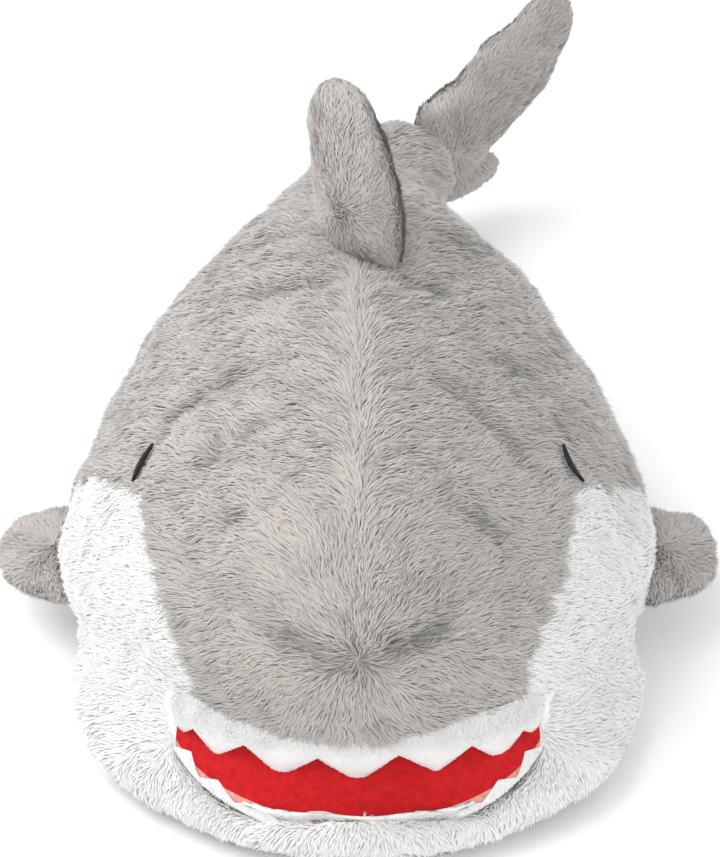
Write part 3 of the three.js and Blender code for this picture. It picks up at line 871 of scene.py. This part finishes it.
def puffed(piece, most):
    """A short cloth simulation under pressure: the tail fin swells, the other fins hardly do."""
    before = corners(piece)
    cloth = piece.modifiers.new("cloth", "CLOTH")
    cloth.settings.use_pressure = True
    cloth.settings.uniform_pressure_force = PRESSURE
    cloth.settings.effector_weights.gravity = 0
    cloth.point_cache.frame_start = 1
    cloth.point_cache.frame_end = CLOTH_FRAMES
    for frame_number in range(1, CLOTH_FRAMES + 1):
        bpy.context.scene.frame_set(frame_number)
    graph = bpy.context.evaluated_depsgraph_get()
    swollen = piece.evaluated_get(graph).to_mesh()
    flat = np.empty(len(swollen.vertices) * 3, np.float32)
    swollen.vertices.foreach_get("co", flat)
    piece.modifiers.clear()
    moved = flat.reshape(-1, 3) - before
    far = np.linalg.norm(moved, axis=1)
    moved *= np.minimum(1, most / np.maximum(far, 1e-9))[:, None]
    move_to(piece, before + moved)
    bpy.context.scene.frame_set(1)


def fin_bag(body, names, root, seed):
    """One closed, rippled bag round a fin's panels and stuffing, with its root tucked in."""
    filling = body + "_stuffing" if body + "_stuffing" in nodes else body.replace("_fin", "_stuffing")
    panels_and_filling = [nodes[filling], *(nodes[name] for name in names)]
    bag = remesh(joined_copy(body, *panels_and_filling), FIN_VOXEL)
    relax(bag, FIN_SMOOTHING)
    puffed(bag, MOST_SWELL)
    places = corners(bag)
    places -= vertex_normals(bag) * (FIN_RIPPLE * waves(places, 20 * MM, seed))[:, None]
    outward = places.mean(axis=0) - root
    outward /= np.linalg.norm(outward)
    beyond_root = np.maximum((places - root) @ outward, 0)
    places -= outward * (ROOT_TUCK * np.exp(-((beyond_root / ROOT_TUCK_REACH) ** 2)))[:, None]
    move_to(bag, places)
    shade_smooth(bag)
    return bag


def fin(body, panel_colours, root, seed):
    """A padded fin: one bag, cut into its two panels, each with its fur."""
    names = list(panel_colours)
    root = np.array(root)
    bag = fin_bag(body, names, root, seed)
    owner = nearest_node(face_centres(bag), names)
    for index, (name, colour) in enumerate(panel_colours.items()):
        grey = colour == "grey_fur"
        cloth = only_faces(bag, name + "_cloth", owner == index)
        cloth.data.materials.append(grey_backing if grey else white_backing)
        pile = fur(name + "_fur", cloth, grey_tones if grey else white_tones,
                   lambda roots: roots - root, lambda roots: np.full(len(roots), FIN_PILE),
                   BLADE * 0.9, BLADES * 1.15, seed=seed + index)
        for piece in (cloth, pile):
            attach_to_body(piece, body)
        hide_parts(name)
    bpy.data.objects.remove(bag)


# ---------- stuffing ----------

FIBRE_VOXEL = 7 * MM
FIBRE_SMOOTHING = 3
FIBRE_INSET = 9 * MM
FIBRE_LUMPS = 1.5 * MM


def stuffing(node, body):
    """Loose fibre inside a bag: the solid drawn in and made lumpy."""
    filling = remesh(joined_copy(node + "_fibre", nodes[node]), FIBRE_VOXEL)
    relax(filling, FIBRE_SMOOTHING)
    normals = vertex_normals(filling)
    places = corners(filling)
    depth = FIBRE_INSET + FIBRE_LUMPS * waves(places, 18 * MM, seed=70)
    move_to(filling, places - normals * depth[:, None])
    filling.data.materials.append(fibre_fill)
    shade_smooth(filling)
    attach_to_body(filling, body)
    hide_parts(node)


# ---------- floor and light ----------

FLOOR_HALF = 6
WORLD_STRENGTH = 0.86
KEY_LIGHT = {"place": (-1.1, 0.0, 1.8), "aim": (0, -0.1, 0.1), "size": 1.8, "power": 30}
FILL_LIGHT = {"place": (0.6, -1.8, 1.0), "aim": (0, 0, 0.1), "size": 1.2, "power": 8}


def make_floor():
    rows = [[(x, y, 0) for x in (-FLOOR_HALF, FLOOR_HALF)] for y in (-FLOOR_HALF, FLOOR_HALF)]
    floor = grid_piece("floor", rows, [floor_paint])


def area_light(name, place, aim, size, power):
    data = bpy.data.lights.new(name, "AREA")
    data.size = size
    data.energy = power
    lamp = bpy.data.objects.new(name, data)
    bpy.context.scene.collection.objects.link(lamp)
    lamp.location = place
    lamp.rotation_euler = (Vector(aim) - Vector(place)).to_track_quat("-Z", "Y").to_euler()


def make_light():
    world = bpy.data.worlds.new("world")
    bpy.context.scene.world = world
    world.use_nodes = True
    background = world.node_tree.nodes["Background"].inputs
    background["Color"].default_value = (1, 1, 1, 1)
    background["Strength"].default_value = WORLD_STRENGTH
    area_light("key", **KEY_LIGHT)
    area_light("fill", **FILL_LIGHT)
    bpy.context.scene.view_settings.view_transform = "Standard"


# ---------- the toy ----------

dress_body()
mouth_lining()
upper_lip()
lower_teeth()
for eye_node in eyes:
    eye(eye_node)
fin("dorsal_fin", {"dorsal_panel_left": "grey_fur", "dorsal_panel_right": "grey_fur"},
    dorsal_root, seed=50)
fin("caudal_fin", {"caudal_panel_left": "grey_fur", "caudal_panel_right": "grey_fur"},
    caudal_root, seed=54)
for side in ("left", "right"):
    flap = Vector(joints[f"pectoral_{side}_flap"]["pos_m"])
    fin(f"pectoral_{side}", {f"pectoral_{side}_top": "grey_fur", f"pectoral_{side}_bottom": "white_fur"},
        flap, seed=58)
for filled_node, filled_body in {
    "body_stuffing": "torso", "jaw_stuffing": "jaw", "tail_stuffing": "tail",
    "dorsal_stuffing": "dorsal_fin", "caudal_stuffing": "caudal_fin",
    "pectoral_left_stuffing": "pectoral_left", "pectoral_right_stuffing": "pectoral_right",
}.items():
    stuffing(filled_node, filled_body)
make_floor()
make_light()
